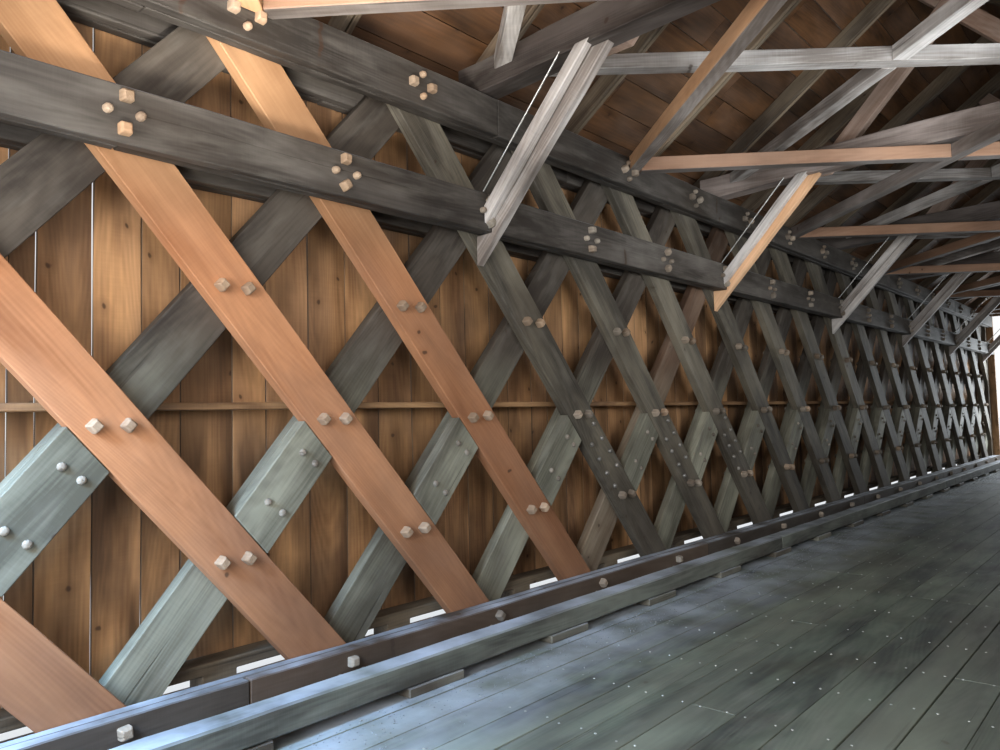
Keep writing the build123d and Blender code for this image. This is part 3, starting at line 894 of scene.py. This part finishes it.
# %% Framing timbers
OLD = "weathered_timber"
for node, material, slot, age_of, wave, tone_of in (
    ("tie_beams", tie_wood, "tie_timber", always(0.92), 0.008, tie_tone),
    ("left_knee_braces", bar_wood, "tie_timber", brace_age, 0.010, brace_tone),
    ("right_knee_braces", bar_wood, "tie_timber", brace_age, 0.010, brace_tone),
    ("new_overhead_bracing", new_bar_wood, "new_timber", bar_age, 0.002, bar_tone),
    ("old_overhead_bracing", bar_wood, OLD, always(0.95), 0.004, None),
    ("left_scissor_braces", bar_wood, "new_timber", always(0.35), 0.002, None),
    ("right_scissor_braces", bar_wood, "new_timber", always(0.35), 0.002, None),
    ("left_rafters", frame_wood, "roof_timber", always(0.80), 0.003, None),
    ("right_rafters", frame_wood, "roof_timber", always(0.80), 0.003, None),
    ("roof_plates", frame_wood, OLD, always(0.9), 0.003, None),
    ("end_posts", frame_wood, OLD, always(0.9), 0.003, None),
    ("siding_rails", frame_wood, OLD, rail_age, 0.002, None),
    ("bed_timbers", frame_wood, OLD, always(1.0), 0.004, None),
    ("floor_beams", frame_wood, OLD, always(1.0), 0.004, None),
    ("floor_stringers", frame_wood, OLD, always(1.0), 0.003, None),
    ("floor_sleepers", frame_wood, OLD, always(1.0), 0.003, None),
    ("guard_blocks", guard_wood, "guard_timber", always(0.9), 0.004, None),
):
    piece = new_piece()
    add_timbers(piece, node, age_of, wave, tone_of=tone_of)
    show(piece, node.replace("_", " "), material, [node], 0.005)

# %% [markdown]
# ## Steel rods
# A thin rod hangs beside each pair of braces. It is round bar, so it only needs its metal.

# %% Rods
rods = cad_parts["brace_rods"]
rods.data.materials.clear()
rods.data.materials.append(steel)
print("rods in", steel.name)

# %% [markdown]
# ## The roadway
# The deck boards run lengthwise and end on sleepers. Two nails go through each board into each sleeper.

# %% Deck boards and nails
BOARD_ROWS = 19
NAIL_INSET = 0.045
FIRST_SLEEPER = 0.366
deck_low, deck_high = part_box("deck")
sleepers = [FIRST_SLEEPER + k * SPACING / 2 for k in range(-20, 20)]
sleepers = [x for x in sleepers if abs(x) < END - 0.1]
widths = [rng.uniform(0.8, 1.2) for row in range(BOARD_ROWS)]
widths = [w * (deck_high.y - deck_low.y) / sum(widths) for w in widths]
deck, nails = new_piece(), new_piece()
for row, width in enumerate(widths):
    y0 = deck_low.y + sum(widths[:row])
    y1 = y0 + width - rng.choice((0.001, 0.001, 0.003, 0.006))
    joint = rng.randrange(1, 7)
    ends = [-END]
    while joint < len(sleepers) - 1:
        ends.append(sleepers[joint])
        joint += rng.choice((6, 7, 8))
    ends.append(END)
    for a, b in zip(ends, ends[1:]):
        lay(deck, (a, y0, deck_low.z), (b - JOINT_GAP, y1, deck_high.z), wave=0.002, step=0.7)
    for x in sleepers:
        for y in (y0 + NAIL_INSET, y1 - NAIL_INSET):
            spot = (x + rng.uniform(-0.012, 0.012), y + rng.uniform(-0.008, 0.008), deck_high.z - 0.001)
            add_peg(nails, spot, (0, 0, 1), 0.015, 0.003, "nail")
show(deck, "deck boards", road_wood, ["deck"], 0.0025)
show(nails, "deck nails", worn_iron, (), 0)

# %% [markdown]
# ## Gravel along the guards
# Wheels throw small stones to the edges of the roadway, where they stay. Each is a squashed eight-sided lump.

# %% Gravel
LUMP = [(1, 0, 0), (0, 1, 0), (-1, 0, 0), (0, -1, 0), (0, 0, 1), (0, 0, -1)]
LUMP_FACES = [(0, 1, 4), (1, 2, 4), (2, 3, 4), (3, 0, 4), (1, 0, 5), (2, 1, 5), (3, 2, 5), (0, 3, 5)]
STONES_TRIED = 5200
WIDEST_THROW = 0.9
guard_low, guard_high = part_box("wheel_guards")
kerb = guard_high.y - 0.165
piece = new_piece()
for side in (1, -1):
    for _ in range(STONES_TRIED):
        x = rng.uniform(-END + 0.05, END - 0.05)
        inward = abs(rng.gauss(0, 0.22))
        if inward > WIDEST_THROW:
            continue
        size = rng.uniform(0.002, 0.007)
        centre = Vector((x, side * (kerb - inward), DECK + size * 0.45))
        start, tone, shift = len(piece["co"]), rng.random(), grain_shift()
        for corner in LUMP:
            local = Vector(corner) * size * rng.uniform(0.6, 1.2)
            local.z *= 0.6
            add_point(piece, centre + local, shift, tone, 1.0)
        piece["faces"] += [tuple(start + i for i in face) for face in LUMP_FACES]
show(piece, "gravel", gravel, (), 0)

# %% [markdown]
# ## Wheel guards
# A heavy timber on short blocks keeps wheels off the truss. It is worn along its upper edge.

# %% Wheel guards
GUARD_WIDTH = 0.16
GUARD_JOINTS = (-8.75 * SPACING, -2.75 * SPACING, 3.25 * SPACING)
ends = [-END, *GUARD_JOINTS, END]
piece = new_piece()
for y0, y1 in ((guard_high.y - GUARD_WIDTH, guard_high.y), (guard_low.y, guard_low.y + GUARD_WIDTH)):
    for a, b in zip(ends, ends[1:]):
        lay(piece, (a, y0, guard_low.z), (b - 0.006, y1, guard_high.z), age=0.97, wave=0.007, step=0.3)
show(piece, "wheel guards", guard_wood, ["wheel_guards"], 0.010)

# %% [markdown]
# ## Boarded sides and skirts
# Boards of different widths are nailed upright to the rails. Most joints are tight.
# A few near the camera have opened above the rail at mid height, and daylight comes through.

# %% Upright boards
BOARD_THICKNESS = 0.025
TIGHT = 0.001
NARROWEST = 0.12
NAILER = MIDDLE + 0.08
OPEN_JOINTS = {-9.98: 0.003, -9.73: 0.005, -8.49: 0.006, -7.66: 0.005}


def upright(piece, low, high, age=0.1, joints=None):
    x = low[0]
    while x < high[0] - 0.05:
        width = rng.uniform(0.19, 0.30)
        opening = TIGHT
        for place, wide in (joints or {}).items():
            if x + 0.10 < place <= x + width + 0.10:
                width, opening = place - x, wide
        if high[0] - x - width < NARROWEST:
            width = high[0] - x
        looks = {"turn": UPRIGHT, "age": age, "wave": 0.004, "step": 0.25, "tone": rng.random()}
        foot = low[2]
        if opening > TIGHT:
            lay(piece, (x, low[1], foot), (x + width - TIGHT, high[1], NAILER - 0.002), **looks)
            foot = NAILER
        lay(piece, (x, low[1], foot), (x + width - opening, high[1], high[2]), **looks)
        x += width


for side, joints in (("left", OPEN_JOINTS), ("right", None)):
    piece = new_piece()
    upright(piece, *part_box(f"{side}_siding"), joints=joints)
    show(piece, f"{side} side boards", board_wood, [f"{side}_siding"], 0.002)

low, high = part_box("skirts")
piece = new_piece()
upright(piece, low, (high.x, low.y + BOARD_THICKNESS, high.z), age=0.7)
upright(piece, (low.x, high.y - BOARD_THICKNESS, low.z), high, age=0.7)
show(piece, "skirt boards", board_wood, ["skirts"], 0.002)

# %% [markdown]
# ## Gable and cheek boards
# The two ends are boarded as well. Their outline follows the roof, so the model's panel is cut into boards.

# %% Sliced panels
def sliced(points, corners, cuts):
    shape = bmesh.new()
    verts = [shape.verts.new(co) for co in points]
    for face in corners:
        shape.faces.new([verts[i] for i in face])
    for place, normal in cuts:
        parts = shape.verts[:] + shape.edges[:] + shape.faces[:]
        cut = bmesh.ops.bisect_plane(shape, geom=parts, plane_co=place, plane_no=normal, clear_outer=True)
        edges = [e for e in cut["geom_cut"] if isinstance(e, bmesh.types.BMEdge)]
        if edges:
            bmesh.ops.edgeloop_fill(shape, edges=edges)
    shape.verts.index_update()
    return shape


def add_panel(piece, node):
    for points, corners in solids_of(node):
        y, last = min(co.y for co in points), max(co.y for co in points)
        while y < last - 0.05:
            width = rng.uniform(0.19, 0.28)
            width = last - y if last - y - width < NARROWEST else width
            cuts = (((0, y, 0), (0, -1, 0)), ((0, y + width - JOINT_GAP, 0), (0, 1, 0)))
            shape = sliced(points, corners, cuts)
            shift, tone, start = grain_shift(), rng.random(), len(piece["co"])
            for vert in shape.verts:
                grain = Vector((vert.co.z, vert.co.y - y - width / 2, vert.co.x * 0.1)) + shift
                add_point(piece, vert.co.copy(), grain, tone, 0.2)
            piece["faces"] += [tuple(start + v.index for v in face.verts) for face in shape.faces]
            shape.free()
            y += width


for node in ("near_gable", "far_gable", "portal_cheeks"):
    piece = new_piece()
    add_panel(piece, node)
    show(piece, node.replace("_", " ") + " boards", board_wood, [node], 0.002)

# %% [markdown]
# ## Stone abutments
# The bridge sits on two blocks of squared rubble, in level courses with broken joints.
# Each stone is a divided box whose faces are pushed in unevenly. A slightly smaller core shows as the mortar.

# %% Stone builder
JOINT = Vector((0.007, 0.007, 0.007))
ROUGHNESS = 0.018
ROUNDING = 0.006


def add_stone(piece, low, high):
    shape = bmesh.new()
    bmesh.ops.create_cube(shape, size=2.0)
    bmesh.ops.subdivide_edges(shape, edges=shape.edges[:], cuts=3, use_grid_fill=True)
    shape.verts.index_update()
    centre, half = (low + high) / 2, (high - low) / 2 - JOINT
    seed, tone, shift, start = rng.uniform(0, 90), rng.random(), grain_shift(), len(piece["co"])
    for vert in shape.verts:
        outer = [abs(c) > 0.99 for c in vert.co]
        local = Vector([vert.co[i] * half[i] for i in range(3)])
        for i in range(3):
            if outer[i]:
                dent = noise.noise((centre + local) * 6 + Vector((seed, 0, i * 7)))
                dent = ROUGHNESS * (0.5 + 0.5 * dent) * (0.25 if i == 2 else 1.0)
                local[i] -= math.copysign(dent + ROUNDING * (sum(outer) - 1), vert.co[i])
        add_point(piece, centre + local, local + shift, tone, 1.0)
    piece["faces"] += [tuple(start + v.index for v in face.verts) for face in shape.faces]
    shape.free()


# %% [markdown]
# ## Laying the stones
# The seat is five courses high and three stones deep. The wall behind the bridge's end stands on it.

# %% Abutments
CORE = 0.022
WALL_DEPTH = 0.5
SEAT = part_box("bed_timbers")[0].z


def lay_courses(stones, core, low, high, courses, ranks):
    rise = (high.z - low.z) / courses
    depth = (high.x - low.x) / ranks
    for course in range(courses):
        for rank in range(ranks):
            y = low.y
            while y < high.y - 0.05:
                length = rng.uniform(0.42, 0.85)
                length = high.y - y if high.y - y - length < 0.3 else length
                corner = Vector((low.x + rank * depth, y, low.z + course * rise))
                add_stone(stones, corner, corner + Vector((depth, length, rise)))
                y += length
    foot = (low.x + CORE, low.y + CORE, low.z)
    lay(core, foot, (high.x - CORE, high.y - CORE, high.z - CORE), wave=0.0)


for name in ("near", "far"):
    low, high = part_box(f"{name}_abutment")
    stones, core = new_piece(), new_piece()
    lay_courses(stones, core, low, Vector((high.x, high.y, SEAT)), 5, 3)
    wall_from, wall_to = (low.x, low.x + WALL_DEPTH) if name == "near" else (high.x - WALL_DEPTH, high.x)
    lay_courses(stones, core, Vector((wall_from, low.y, SEAT)), Vector((wall_to, high.y, high.z)), 3, 1)
    show(stones, f"{name} abutment stones", stone, [f"{name}_abutment"], 0)
    show(core, f"{name} abutment mortar", mortar, (), 0)

# %% [markdown]
# ## The roof
# Boards run the length of the roof over the rafters, and short shingles lie on them in courses.
# Both are set out on a slope that starts at the ridge: one axis runs along it, one down and one out of it.

# %% Roof slopes
PITCH = math.radians(35)
ROOF_ROWS = 13
COURSES = 20
SHINGLE_BASE = 0.009
OVERLAP = 0.02
roof_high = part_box("left_roof_boards")[1]
HALF_ROOF = roof_high.x
SLOPE = roof_high.y / math.cos(PITCH)


def slope_axes(side):
    along = Vector((side, 0, 0))
    down = Vector((0, side * math.cos(PITCH), -math.sin(PITCH)))
    return along, down, along.cross(down)


def roof_boards(piece, side):
    along, down, out = slope_axes(side)
    turn = Matrix((along, down, out)).transposed().to_4x4()
    start = Vector((-side * HALF_ROOF, 0, roof_high.z - BOARD_THICKNESS / math.cos(PITCH)))
    width = (SLOPE - BOARD_THICKNESS * math.tan(PITCH)) / ROOF_ROWS
    for row in range(ROOF_ROWS):
        cut = rng.uniform(1.5, 4.0)
        ends = [0.0]
        while cut < 2 * HALF_ROOF - 1.5:
            ends.append(cut)
            cut += rng.choice((3.66, 4.88))
        ends.append(2 * HALF_ROOF)
        for a, b in zip(ends, ends[1:]):
            place = Matrix.Translation(start + along * a + down * (row * width + 0.002)) @ turn
            size = (b - a - JOINT_GAP, width - 0.006, BOARD_THICKNESS)
            add_board(piece, place, size, age=0.0, wave=0.0008, step=2.5)


# %% [markdown]
# ## Shingles
# A shingle is a thin wedge. Its head lies under the course above, and its butt stands out by its thickness.

# %% Shingles
WEDGE_FACES = ((0, 1, 3, 2), (4, 6, 7, 5), (0, 4, 5, 1), (2, 3, 7, 6), (1, 5, 7, 3), (0, 2, 6, 4))


def add_shingle(piece, side, course, x, width):
    along, down, out = slope_axes(side)
    ridge = Vector((-side * HALF_ROOF, 0, roof_high.z))
    reach = SLOPE / COURSES
    head = course * reach - OVERLAP if course else 0.0
    butt = min(SLOPE - 0.014, (course + 1) * reach + rng.uniform(-0.006, 0.004))
    first = len(piece["co"])
    tone, shift = rng.random(), grain_shift()
    thick = rng.uniform(0.008, 0.010)
    for s, base, cover in ((head, 0.001, 0.006), (butt, SHINGLE_BASE, SHINGLE_BASE + thick)):
        for a in (x, x + width - JOINT_GAP):
            for n in (base, cover):
                co = ridge + along * a + down * s + out * n
                add_point(piece, co, Vector((s, a, n)) + shift, tone, 1.0)
    piece["faces"] += [tuple(first + i for i in face) for face in WEDGE_FACES]


for name, side in (("left", 1), ("right", -1)):
    boards, shingles = new_piece(), new_piece()
    roof_boards(boards, side)
    show(boards, f"{name} roof boards", roof_wood, [f"{name}_roof_boards"], 0)
    for course in range(COURSES):
        x = 0.0
        while x < 2 * HALF_ROOF - 0.03:
            width = min(rng.uniform(0.11, 0.26), 2 * HALF_ROOF - x)
            add_shingle(shingles, side, course, x, width)
            x += width
    show(shingles, f"{name} shingles", shingle_wood, [f"{name}_roof_covering"], 0)

# %% [markdown]
# ## Floor
# A plain pale floor, far wider than the bridge, with only a faint change of tone.

# %% Floor
REACH = 300
floor_mesh = bpy.data.meshes.new("floor")
floor_corners = [(-REACH, -REACH, 0), (REACH, -REACH, 0), (REACH, REACH, 0), (-REACH, REACH, 0)]
floor_mesh.from_pydata(floor_corners, [], [(0, 1, 2, 3)])
floor = bpy.data.objects.new("floor", floor_mesh)
scene.collection.objects.link(floor)
floor_paint = Paint("pale floor")
floor_noise = floor_paint.noise(floor_paint.add("NewGeometry", {}, out=0), 0.6, 2.0)
floor_colour = floor_paint.mix(floor_noise, tint(0.80, 0.80, 0.79), tint(0.84, 0.84, 0.83))
floor_mesh.materials.append(floor_paint.finish(floor_colour, 0.9, floor_noise, 0.001, 0.1))
print("floor", 2 * REACH, "metres wide")
